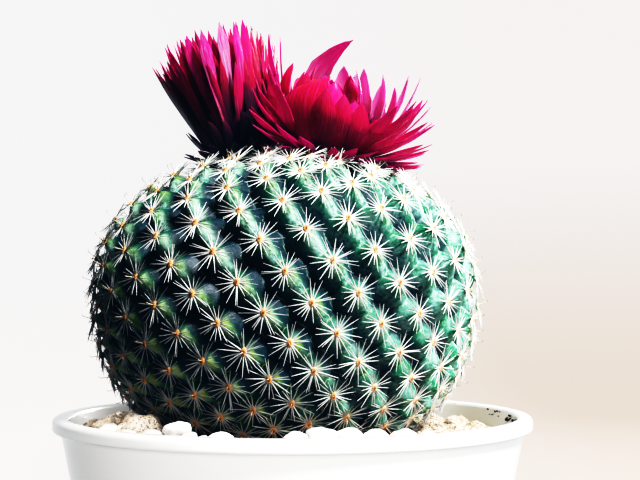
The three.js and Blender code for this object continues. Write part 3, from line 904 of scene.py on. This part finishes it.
def areoleMatrix(areoles, n, lift):
    axes = Matrix([areoles["side"][n], areoles["up"][n], areoles["out"][n]]).transposed().to_4x4()
    nearness = max(0, areoles["out"][n] @ areoles["pole"]) ** 2
    angle = spineSizes["tilt"] + (spineSizes["crownTilt"] - spineSizes["tilt"]) * nearness
    tilt = Matrix.Rotation(-angle, 4, "X")
    return Matrix.Translation(areoles["tips"][n] + areoles["out"][n] * lift) @ axes @ tilt


def underHead(tip):
    # the areoles that a flower head sits on stay bare
    for head in (leftHead, rightHead):
        local = headFrame(head).inverted() @ Vector(tip)
        if math.hypot(local.x, local.y) < head["seatRadius"] and local.z > -seatReach:
            return True
    return False


def makeSpines(areoles):
    sizes = spineSizes
    chance = random.Random(sizes["seed"])
    clusters = [makeSpineCluster(variant) for variant in range(sizes["variants"])]
    needle = makeHookedSpine()
    pad = makeWoolPad()
    radials, centrals, pads = [], [], []
    for n, tip in enumerate(areoles["tips"]):
        if tip[2] < sizes["floor"] or underHead(tip):
            continue
        place = areoleMatrix(areoles, n, sizes["lift"])
        roll = Matrix.Rotation(chance.uniform(-math.pi, math.pi), 4, "Z")
        grow = Matrix.Scale(chance.uniform(*spineChance["size"]), 4)
        radials.append(copyTo(chance.choice(clusters), place @ roll @ grow))
        pads.append(copyTo(pad, areoleMatrix(areoles, n, padSizes["lift"])))
        lean = Matrix.Rotation(math.radians(chance.uniform(*centralChance["lean"])), 4, "X")
        swing = Matrix.Rotation(math.radians(chance.uniform(*centralChance["swing"])), 4, "Y")
        spin = Matrix.Rotation(chance.uniform(-centralChance["spin"], centralChance["spin"]), 4, "Z")
        centrals.append(copyTo(needle, place @ lean @ swing @ spin))
    for original in [*clusters, needle, pad]:
        bpy.data.objects.remove(original)
    kinds = {
        "radialSpines": (radials, whiteSpine()),
        "centralSpines": (centrals, hookedSpine()),
        "areolePads": (pads, areoleWool()),
    }
    for name, (pieces, material) in kinds.items():
        joined = joinPieces(name, pieces)
        smooth(joined, 80)
        finishPiece(joined, material, "cactus")


def form(root, length, width, polar, **more):
    # one bract: its root's reach from the head's axis and height, and its angles from that axis, in degrees,
    # at the root and at the tip
    return {"root": root, "length": length, "width": width, "polar": polar, **more}


florets = {
    "count": 150,
    "turn": 137.5,  # degrees from each to the next
    "radius": 0.0082,
    "top": 0.0101,
    "drop": 0.0042,  # from the middle to the edge
    "length": 0.0062,
    "width": 0.0018,
    "polar": (28, 6),  # of the outermost
    "tint": 0.15,
}


def discFlorets():
    # short bracts in a spiral over the open head's middle, painted dark as shade in the head's hollow
    singles = []
    for k in range(florets["count"]):
        out = math.sqrt((k + 0.5) / florets["count"])
        root = (florets["radius"] * out, florets["top"] - florets["drop"] * out ** 3)
        polar = [angle * out for angle in florets["polar"]]
        azimuth = florets["turn"] * k
        singles.append(form(
            root, florets["length"], florets["width"], polar, azimuth=azimuth, tint=florets["tint"]))
    return singles


# whorls run round a head, apart from the degrees at "open"; singles each have an azimuth of their own
leftHead = {
    "node": "flower_left",
    "place": (-0.0123, 0.0015),
    "lean": -12,
    "seatRadius": 0.0066,
    "seed": 5,
    "neighbour": 0,
    "side": -1,
    "core": [(0.0048, 0.0003), (0.0056, 0.0028), (0.0052, 0.006), (0.004, 0.0095), (0.0004, 0.0115)],
    # the next four keys paint the head's light and shade: how far up the painted shade at the roots reaches,
    # how fast the colour rises to the tips, the azimuth of the lit side, and how light the tints are
    "rise": -0.12,
    "spread": 1,
    "litSide": -50,
    "shade": 0.9,
    "blunt": 3.6,
    "whorls": [
        form((0.0046, 0.001), 0.009, 0.002, (52, 64), count=16),
        form((0.0044, 0.0014), 0.011, 0.0022, (34, 30), count=20),
        form((0.0044, 0.0018), 0.023, 0.0024, (27, 20), count=30),
        form((0.0044, 0.0018), 0.0195, 0.0028, (38, 26), count=34, tint=0.1, open=(64, 296)),
        form((0.0044, 0.0018), 0.014, 0.0028, (56, 40), count=30, tint=0.0, open=(64, 280)),
        form((0.0044, 0.002), 0.0254, 0.0026, (25, 19), count=38, lift=2),
        form((0.0042, 0.0028), 0.0262, 0.0027, (22, 16), count=36, lift=1),
        form((0.0038, 0.0036), 0.0266, 0.0025, (19, 12), count=32),
        form((0.0032, 0.0045), 0.0266, 0.0026, (15, 9), count=26),
        form((0.0024, 0.0055), 0.0256, 0.0027, (10, 5), count=18),
        form((0.0014, 0.008), 0.0225, 0.0028, (5, 3), count=10),
    ],
    # satin bracts at the front, turned to the light; their high tints paint them lighter: painted light
    "singles": [
        form((0.0092, 0.012), 0.0182, 0.0028, (27, 6), azimuth=-110, tint=0.85, turn=-34, foot=0.05),
        form((0.008, 0.0078), 0.0232, 0.003, (28, 8), azimuth=-96, tint=1.1, turn=-32, foot=0.05),
        form((0.009, 0.012), 0.0196, 0.003, (27, 5), azimuth=-80, tint=1.4, turn=-24, foot=0.05),
        form((0.0084, 0.01), 0.0212, 0.0026, (26, 6), azimuth=-66, tint=0.95, turn=-16, foot=0.05),
        form((0.008, 0.011), 0.0206, 0.0026, (24, 6), azimuth=-52, tint=0.7, turn=-10, foot=0.05),
    ],
}
rightHead = {
    "node": "flower_right",
    "place": (0.0078, 0.0015),
    "lean": 6,
    "seatRadius": 0.0074,
    "seed": 8,
    "neighbour": 180,
    "side": 1,
    "core": [(0.007, 0.0003), (0.0086, 0.0028), (0.0082, 0.006), (0.006, 0.009), (0.0004, 0.0105)],
    # the next four keys paint the head's light and shade: how far up the painted shade at the roots reaches,
    # how fast the colour rises to the tips, the azimuth of the lit side, and how light the tints are
    "rise": 0.27,
    "spread": 0.76,
    "litSide": 20,
    "shade": 1.3,
    "blunt": 2.6,
    "whorls": [
        form((0.0068, 0.001), 0.012, 0.0024, (84, 95), count=26, tint=0.05, lift=10),
        form((0.007, 0.0014), 0.015, 0.0027, (84, 82), count=26, tint=0.2, lift=15),
        form((0.007, 0.002), 0.0172, 0.003, (80, 66), count=24, tint=0.3, open=(-135, -52), lift=18),
        form((0.0072, 0.0028), 0.019, 0.0032, (66, 50), count=22, open=(-140, -62), lift=12),
        form((0.0074, 0.0034), 0.0195, 0.0034, (58, 34), count=20, open=(-150, -48), lift=9),
        form((0.0076, 0.0036), 0.019, 0.0074, (58, -20), count=11, broad=True, open=(-145, 50), forward=14),
        form((0.0072, 0.0044), 0.0195, 0.0072, (48, -28), count=11, broad=True, open=(-145, 40), forward=14),
        form((0.006, 0.0055), 0.0165, 0.0066, (38, -28), count=9, broad=True, open=(-100, 50), forward=12),
        form((0.004, 0.007), 0.017, 0.0056, (24, -22), count=6, broad=True, open=(-110, -10)),
    ],
    "singles": [
        form((0.008, 0.0065), 0.0275, 0.0054, (12, -68), azimuth=144, tint=0.8, turn=40, blunt=2.4),
        form((0.0078, 0.0032), 0.0236, 0.0124, (68, -100), azimuth=-122, tint=0.3, broad=True),
        form((0.008, 0.003), 0.0164, 0.0058, (66, -6), azimuth=-98, tint=0.5),
        form((0.0082, 0.0028), 0.0154, 0.0058, (66, -2), azimuth=-84, tint=0.6),
        form((0.0082, 0.0028), 0.0144, 0.006, (68, 6), azimuth=-70, tint=0.5),
        form((0.0082, 0.0028), 0.0128, 0.006, (74, 24), azimuth=-56, tint=0.7),
        form((0.008, 0.0028), 0.0124, 0.0056, (80, 44), azimuth=-42, tint=0.8),
        form((0.008, 0.0028), 0.015, 0.0052, (76, 50), azimuth=-28, tint=0.7),
        form((0.0074, 0.004), 0.016, 0.0068, (56, -18), azimuth=-92, tint=0.8),
        form((0.0074, 0.004), 0.0126, 0.0064, (62, 0), azimuth=-72, tint=0.9),
        # broad inner petals at the back, whose high tints paint them whitish: painted highlight
        form((0.0066, 0.005), 0.0196, 0.0074, (40, -12), azimuth=24, tint=1.3, broad=True),
        form((0.0062, 0.005), 0.0206, 0.007, (34, -14), azimuth=52, tint=1.3, broad=True),
        form((0.006, 0.005), 0.0206, 0.0066, (30, -16), azimuth=80, tint=1.1, broad=True),
        form((0.0068, 0.0044), 0.0184, 0.0078, (44, -4), azimuth=38, tint=1.5, broad=True),
        form((0.007, 0.0042), 0.0178, 0.0066, (48, -6), azimuth=8, tint=0.9, broad=True),
        form((0.0066, 0.0048), 0.02, 0.0074, (36, -8), azimuth=66, tint=1.2, broad=True),
        form((0.0072, 0.004), 0.0166, 0.0074, (46, -20), azimuth=196, tint=0.6, broad=True),
        form((0.0072, 0.0042), 0.0176, 0.0074, (42, -22), azimuth=180, tint=0.7, broad=True),
        form((0.007, 0.0046), 0.0194, 0.007, (40, -22), azimuth=166, tint=0.8, broad=True),
        form((0.0074, 0.0034), 0.0228, 0.0028, (46, 14), azimuth=4, tint=0.9),
        form((0.0074, 0.0034), 0.0228, 0.0026, (42, 8), azimuth=17, tint=1.0),
        form((0.0076, 0.0034), 0.0186, 0.005, (58, 24), azimuth=-12, tint=0.7),
        form((0.0072, 0.004), 0.0172, 0.0056, (50, 12), azimuth=28, tint=0.8),
        form((0.007, 0.004), 0.0262, 0.0026, (40, 8), azimuth=206, tint=0.9),
        form((0.007, 0.004), 0.026, 0.0024, (30, 0), azimuth=176, tint=0.9),
        form((0.0074, 0.0034), 0.02, 0.0036, (46, 18), azimuth=192, tint=0.3),
        form((0.0074, 0.003), 0.0175, 0.0036, (60, 36), azimuth=200, tint=0.2),
        form((0.0074, 0.0034), 0.0205, 0.0038, (48, 14), azimuth=212, tint=0.8),
        form((0.0072, 0.003), 0.019, 0.0034, (56, 26), azimuth=205, tint=0.5),
        form((0.0076, 0.003), 0.018, 0.0034, (58, 24), azimuth=228, tint=0.6),
        form((0.0072, 0.0025), 0.017, 0.0032, (72, 56), azimuth=216, tint=0.35),
        form((0.0072, 0.0022), 0.015, 0.0032, (78, 66), azimuth=236, tint=0.25),
        form((0.0072, 0.002), 0.013, 0.0032, (82, 74), azimuth=250, tint=0.2),
        *discFlorets(),
    ],
}
seatDepth = 0.002  # how far a head sinks into the crown
seatReach = 0.004  # areoles this far below a head's foot are still under it
# the plane between the two heads: their bracts meet there, and the left head's stay behind the right one's
parting = {
    "point": Vector((-0.0024, 0, 0.144)),
    "lean": math.radians(4),
    "turn": math.radians(-33),
    "gap": 0.0004,
}
bractShape = {
    "thickness": 0.00016,
    "acrossSteps": 4,
    "alongSteps": 12,
    "bendSteps": 30,
    "gather": 1.4,  # draws the rows together near the tip
    "leastWidth": 0.03,
    "foot": 0.5,  # width at the root, as a share of the widest
    "flare": 1.3,
    "taper": 0.9,
    "broadFlare": 1.4,
    "broadBlunt": 1.9,
    "broadTaper": 0.7,
    "cup": (0.12, 0.30),  # depth across, as a share of half the width
    "twist": 0.35,
    "ripple": 0.04,
    "waves": (9, 2),  # radians along and across
    "firstWave": (0, 6.28),
    "facing": 1.5,  # how fast the lift towards the other head fades to the sides
}
# how much the bracts of a whorl differ
whorlChance = {"swing": 0.5, "tilt": 3, "broadTilt": 7, "length": (0.92, 1.04), "width": (0.85, 1.1)}
# painted shade and light: short and low bracts are painted darker, and those that face a head's lit side
# lighter
bractShade = {
    "fullLength": 0.022,
    "middleHeight": 0.005,
    "byHeight": 0.12,
    "broad": 0.10,
    "byChance": 0.6,
    "byLight": 0.4,
}
coreSides = 32


def headFrame(head):
    centre = Vector(cactusSizes["centre"])
    x = head["place"][0] - centre.x
    y = head["place"][1] - centre.y
    level = math.hypot(x, y) / cactusSizes["halfWidth"]
    power = cactusSizes["power"]
    offset = Vector((x, y, cactusSizes["upperHalf"] * (1 - level ** power) ** (1 / power)))
    normal = Vector(bodyNormals(np.array([offset]))[0])
    seat = centre + offset - normal * seatDepth
    return Matrix.Translation(seat) @ Matrix.Rotation(math.radians(head["lean"]), 4, "Y")


def bladeWidth(share, broad, blunt, foot):
    # the blade's width along its length, as a share of its widest
    shape = bractShape
    if broad:
        near = foot + shape["broadFlare"] * share
        far = shape["broadBlunt"] * (1 - share) ** shape["broadTaper"]
    else:
        near = foot + (shape["flare"] - foot) * share
        far = blunt * (1 - share) ** shape["taper"]
    return min(1, near) * min(1, far)


def rowShares(rows):
    # how far along a blade its rows lie, from 0 at the root to 1 at the tip; rows run from -1 to 1
    return 1 - (0.5 - rows / 2) ** bractShape["gather"]


def makeBlade():
    # the flat blank that every bract is shaped from
    clearSelection()
    bpy.ops.mesh.primitive_grid_add(
        x_subdivisions=bractShape["acrossSteps"], y_subdivisions=bractShape["alongSteps"], size=2)
    blade = nameNew("bractBlank")
    return blade


def followBract(bract, azimuth, head):
    # reach, height and angle along a bract's middle
    facing = max(0, math.cos(azimuth - math.radians(head["neighbour"]))) ** bractShape["facing"]
    lift = bract.get("lift", 0) * facing
    forward = -bract.get("forward", 0) * math.sin(azimuth)
    root, tip = [math.radians(polar - math.copysign(lift, polar) + forward) for polar in bract["polar"]]
    steps = bractShape["bendSteps"]
    radius, height = bract["root"]
    middles = []
    for k in range(steps + 1):
        polar = root + (tip - root) * k / steps
        middles.append((radius, height, polar))
        radius += math.sin(polar) * bract["length"] / steps
        height += math.cos(polar) * bract["length"] / steps
    return middles


def keepApart(point, side):
    # a point past the plane between the heads is moved back to it
    normal = Vector((math.cos(parting["lean"]), 0, math.sin(parting["lean"])))
    normal.rotate(Matrix.Rotation(parting["turn"], 3, "Z"))
    past = (point - parting["point"]).dot(normal) * side
    if past < parting["gap"]:
        return point + normal * (parting["gap"] - past) * side
    return point


def shadeBract(blade, rows, bract, azimuth, head, chance):
    shade = bractShade
    # painted shade: the colour is darker at the root, on short and low bracts, and by the head's own offset
    rise = rowShares(rows) * min(1, bract["length"] / shade["fullLength"]) * head["spread"]
    rise += shade["byHeight"] * (bract["root"][1] / shade["middleHeight"] - 1)
    rise += head["rise"] + bract.get("broad", False) * shade["broad"]
    # painted light: bracts that face the head's lit side get lighter tints
    lit = 0.5 + 0.5 * math.cos(azimuth - math.radians(head["litSide"]))
    mixed = chance.random() * shade["byChance"] + shade["byLight"] * lit
    tint = bract.get("tint", mixed * head["shade"])
    writeAttribute(blade, "rise", rise)
    writeAttribute(blade, "tint", np.full(len(rows), tint))


def makeBract(blank, bract, azimuth, head, place, chance):
    shape = bractShape
    middles = followBract(bract, azimuth, head)
    blade = copyTo(blank, Matrix.Identity(4))
    points = readPoints(blade)
    away = Vector((math.cos(azimuth), math.sin(azimuth), 0))
    across = Vector((-math.sin(azimuth), math.cos(azimuth), 0))
    cup = chance.uniform(*shape["cup"])
    twist = chance.uniform(-shape["twist"], shape["twist"])
    lean = math.radians(bract.get("turn", 0))
    wave = chance.uniform(*shape["firstWave"])
    along, sideways = shape["waves"]
    turn = place.to_3x3()
    broad = bract.get("broad", False)
    blunt = bract.get("blunt", head["blunt"])
    foot = bract.get("foot", shape["foot"])
    final = np.zeros_like(points)
    for n, (a, b, _) in enumerate(points):
        share = rowShares(b)
        radius, height, polar = middles[round(share * shape["bendSteps"])]
        centre = keepApart(place @ (away * radius + Vector((0, 0, height))), head["side"])
        face = turn @ (away * math.cos(polar) - Vector((0, 0, math.sin(polar))))
        edge = turn @ across
        bend = lean + twist * share
        beside = edge * math.cos(bend) + face * math.sin(bend)
        face = face * math.cos(bend) - edge * math.sin(bend)
        width = bract["width"] / 2 * max(bladeWidth(share, broad, blunt, foot), shape["leastWidth"])
        ripple = shape["ripple"] * math.sin(wave + along * share + sideways * a) * width
        crown = cup * width * (1 - a * a) + ripple
        final[n] = centre + beside * (a * width) + face * crown
    writePoints(blade, final)
    shadeBract(blade, points[:, 1], bract, azimuth, head, chance)
    return blade


def makeHead(head, name, material, blank):
    place = headFrame(head)
    chance = random.Random(head["seed"])
    spread = whorlChance
    blades = []
    for w, whorl in enumerate(head["whorls"]):
        tiltReach = spread["broadTilt"] if whorl.get("broad") else spread["tilt"]
        for k in range(whorl["count"]):
            swing = (chance.random() - 0.5) * spread["swing"]
            azimuth = (k + 0.5 * (w % 2) + swing) * 2 * math.pi / whorl["count"]
            first, last = whorl.get("open", (0, 0))
            if first < last and (math.degrees(azimuth) - first) % 360 < last - first:
                continue
            tilt = chance.uniform(-tiltReach, tiltReach)
            bract = {
                **whorl,
                "length": whorl["length"] * chance.uniform(*spread["length"]),
                "width": whorl["width"] * chance.uniform(*spread["width"]),
                "polar": [angle + tilt for angle in whorl["polar"]],
            }
            blades.append(makeBract(blank, bract, azimuth, head, place, chance))
    for single in head["singles"]:
        blades.append(makeBract(blank, single, math.radians(single["azimuth"]), head, place, chance))
    joined = joinPieces(name, blades)
    applyModifier(joined, "SOLIDIFY", {"thickness": bractShape["thickness"], "offset": 0})
    # the modifier appends the second face's points after the first's
    shells = np.arange(len(joined.data.vertices)) >= len(joined.data.vertices) // 2
    writeAttribute(joined, "inner", shells)
    smooth(joined, 60)
    finishPiece(joined, material, head["node"])
    core = turnProfile(name + "Core", head["core"], coreSides)
    core.data.transform(place)
    # the core takes the darkest colour, the painted shade of the roots
    for attribute in ("rise", "tint", "inner"):
        writeAttribute(core, attribute, np.zeros(len(core.data.vertices)))
    smooth(core, 60)
    finishPiece(core, material, head["node"])


bedSizes = {
    "soilTop": 0.083,
    "inner": 0.0265,
    "outerTop": 0.0848,
    "middle": 0.036,
    "middleTop": 0.0864,
    "clear": 0.0003,  # from the pot's wall
    "lumps": ((260, 0.0006), (900, 0.0003)),  # scale and height
    "sides": 160,
    "rows": 18,
    "seed": 77,
}
stoneKinds = {
    "whitePebbles": {"size": 0.0036, "flat": (1.15, 0.95, 0.78), "rough": 0.0011, "detail": 4, "seed": 21},
    "tanStones": {"size": 0.0034, "flat": (1.1, 0.95, 0.85), "rough": 0.0016, "detail": 4, "seed": 31},
    "gritGrains": {"size": 0.0009, "flat": (1.15, 0.9, 0.75), "rough": 0.0004, "detail": 2, "seed": 41},
    "soilCrumbs": {"size": 0.0009, "flat": (1.2, 0.9, 0.8), "rough": 0.0005, "detail": 2, "seed": 51},
}
stoneShape = {
    "coarse": (0.9, 0.9),  # scale and weight
    "medium": (2.4, 0.35),
    "shift": (7.3, 3.1),  # from each variant to the next
    "variants": 5,
    "tip": 0.4,
    "smooth": 50,
    "grainSmooth": 20,
}
# stones that lie at random: degrees round the pot, reach from its axis, half widths, and lifts over the bed
loose = {
    "whiteBehind": {
        "count": 12, "azimuths": (40, 150), "reaches": (0.038, 0.045), "sizes": (0.0018, 0.0030),
        "lifts": (-0.0005, 0.0006),
    },
    "tanBehind": {
        "count": 46, "azimuths": (35, 212), "reaches": (0.036, 0.045), "sizes": (0.0011, 0.0024),
        "lifts": (-0.0002, 0.0012),
    },
    "tanBeside": {
        "count": 26, "azimuths": (-40, 35), "reaches": (0.036, 0.045), "sizes": (0.0008, 0.0020),
        "lifts": (-0.0002, 0.0010),
    },
    "grains": {
        "count": 2300, "azimuths": (-180, 180), "reaches": (0.029, 0.0478), "sizes": (0.0004, 0.0012),
        "lifts": (-0.0002, 0.0006),
    },
}
wallCrumbs = [
    {"count": 16, "azimuths": (0, 8), "heights": (0.0876, 0.0893), "sizes": (0.00012, 0.0004)},
    {"count": 9, "azimuths": (13, 24), "heights": (0.0882, 0.0894), "sizes": (0.0001, 0.0003)},
]
# place across, reach from the pot's axis, half width and top of each stone seen at the front
frontPebbles = [
    (-0.0366, 0.0440, 0.0031, 0.0901), (-0.0330, 0.0445, 0.0016, 0.0896), (-0.0270, 0.0440, 0.0024, 0.0903),
    (-0.0228, 0.0425, 0.0024, 0.0918), (-0.0200, 0.0440, 0.0016, 0.0901), (-0.0172, 0.0445, 0.0010, 0.0896),
    (-0.0141, 0.0438, 0.0029, 0.0903), (-0.0085, 0.0445, 0.0008, 0.0894), (0.0003, 0.0440, 0.0026, 0.0906),
    (0.0057, 0.0436, 0.0028, 0.0914), (0.0108, 0.0440, 0.0026, 0.0909), (0.0160, 0.0438, 0.0027, 0.0905),
    (0.0214, 0.0440, 0.0027, 0.0904), (0.0262, 0.0444, 0.0014, 0.0898),
]
frontTan = [
    (-0.0300, 0.0395, 0.0034, 0.0918), (-0.0345, 0.0425, 0.0016, 0.0905), (-0.0380, 0.0420, 0.0022, 0.0914),
    (-0.0400, 0.0435, 0.0017, 0.0904), (-0.0425, 0.0440, 0.0015, 0.0898), (-0.0335, 0.0380, 0.0019, 0.0918),
    (-0.0362, 0.0385, 0.0016, 0.0916),
]
frontHalfHeights = {"white": 0.8, "tan": 0.85}


def bedHeight(reach):
    sizes = bedSizes
    wall = innerWall(sizes["outerTop"])
    share = min(1, (wall - reach) / (wall - sizes["middle"]))
    return sizes["outerTop"] + (sizes["middleTop"] - sizes["outerTop"]) * share


def makeBed():
    sizes = bedSizes
    wall = innerWall(sizes["outerTop"]) - sizes["clear"]
    rows = sizes["rows"]
    top = [wall + (sizes["inner"] - wall) * k / rows for k in range(rows + 1)]
    foot = innerWall(sizes["soilTop"]) - sizes["clear"]
    profile = [(sizes["inner"], sizes["soilTop"]), (foot, sizes["soilTop"])]
    profile += [(radius, bedHeight(radius)) for radius in top]
    bed = turnProfile("gravelBed", profile, sizes["sides"])
    points = readPoints(bed)
    for n, point in enumerate(points):
        if point[2] > sizes["soilTop"] + 0.0005:
            points[n][2] += sum(noise.noise(Vector(point) * scale) * lump for scale, lump in sizes["lumps"])
    writePoints(bed, points)
    smooth(bed, 80)
    finishPiece(bed, bedGrit(), "gravel")
    lightFrom(stoneLamps, bed)


def makeStone(kind, variant):
    sizes = stoneKinds[kind]
    shape = stoneShape
    clearSelection()
    bpy.ops.mesh.primitive_ico_sphere_add(
        subdivisions=sizes["detail"], radius=sizes["size"], location=(0, 0, 0))
    stone = nameNew(f"{kind}{variant}")
    editAll()
    bpy.ops.transform.resize(value=sizes["flat"])
    stopEditing()
    points = readPoints(stone)
    shift = Vector((sizes["seed"] + variant * shape["shift"][0], variant * shape["shift"][1], 0))
    for n, point in enumerate(points):
        bulge = 0
        for scale, weight in (shape["coarse"], shape["medium"]):
            bulge += noise.noise(Vector(point) / sizes["size"] * scale + shift) * weight
        points[n] = point * (1 + bulge * sizes["rough"] / sizes["size"])
    writePoints(stone, points)
    return stone


def onBed(chance, ranges):
    reach = chance.uniform(*ranges["reaches"])
    return reach, bedHeight(reach) + chance.uniform(*ranges["lifts"])


def onWall(chance, ranges):
    height = chance.uniform(*ranges["heights"])
    return innerWall(height), height


def throwStones(chance, ranges, findSpot):
    # random places round the pot, each with the half width of its stone
    places = []
    for _ in range(ranges["count"]):
        angle = math.radians(chance.uniform(*ranges["azimuths"]))
        reach, height = findSpot(chance, ranges)
        where = Vector((reach * math.cos(angle), reach * math.sin(angle), height))
        places.append((where, chance.uniform(*ranges["sizes"])))
    return places


def atFront(stones, halfHeight):
    # each stone's middle from its top; halfHeight is a share of its half width
    places = []
    for across, reach, size, top in stones:
        depth = -math.sqrt(reach * reach - across * across)
        places.append((Vector((across, depth, top - size * halfHeight)), size))
    return places


def scatter(kind, places, material):
    shape = stoneShape
    chance = random.Random(stoneKinds[kind]["seed"])
    originals = [makeStone(kind, variant) for variant in range(shape["variants"])]
    stones = []
    for where, size in places:
        spin = Matrix.Rotation(chance.uniform(0, 2 * math.pi), 4, "Z")
        tip = Matrix.Rotation(chance.uniform(-shape["tip"], shape["tip"]), 4, "X")
        grow = Matrix.Scale(size / stoneKinds[kind]["size"], 4)
        stones.append(copyTo(chance.choice(originals), Matrix.Translation(where) @ spin @ tip @ grow))
    for original in originals:
        bpy.data.objects.remove(original)
    joined = joinPieces(kind, stones)
    smooth(joined, shape["grainSmooth"] if kind == "gritGrains" else shape["smooth"])
    finishPiece(joined, material, "gravel")
    lightFrom(stoneLamps, joined)


def makeTopDressing():
    makeBed()
    chance = random.Random(bedSizes["seed"])
    thrown = {name: throwStones(chance, ranges, onBed) for name, ranges in loose.items()}
    white = atFront(frontPebbles, frontHalfHeights["white"]) + thrown["whiteBehind"]
    tan = atFront(frontTan, frontHalfHeights["tan"]) + thrown["tanBehind"] + thrown["tanBeside"]
    scatter("whitePebbles", white, whiteStone())
    scatter("tanStones", tan, tanStone())
    scatter("gritGrains", thrown["grains"], tanStone())
    # crumbs of soil that stick to the pot's inside
    crumbs = [place for ranges in wallCrumbs for place in throwStones(chance, ranges, onWall)]
    scatter("soilCrumbs", crumbs, darkSoil())


makeCamera()
makeStage()
makeLights()
setTones()
print("camera, stage and lights are set")
makePot()
dressSoil()
print("pot and soil are made")
makeTopDressing()
print("top dressing is made")
areoles = findAreoles()
makeBody(areoles)
print("cactus body is made")
makeSpines(areoles)
print("spines and areoles are made")
bractMaterial = paperyBract()
blank = makeBlade()
makeHead(leftHead, "leftBracts", bractMaterial, blank)
makeHead(rightHead, "rightBracts", bractMaterial, blank)
bpy.data.objects.remove(blank)
print("flower heads are made")
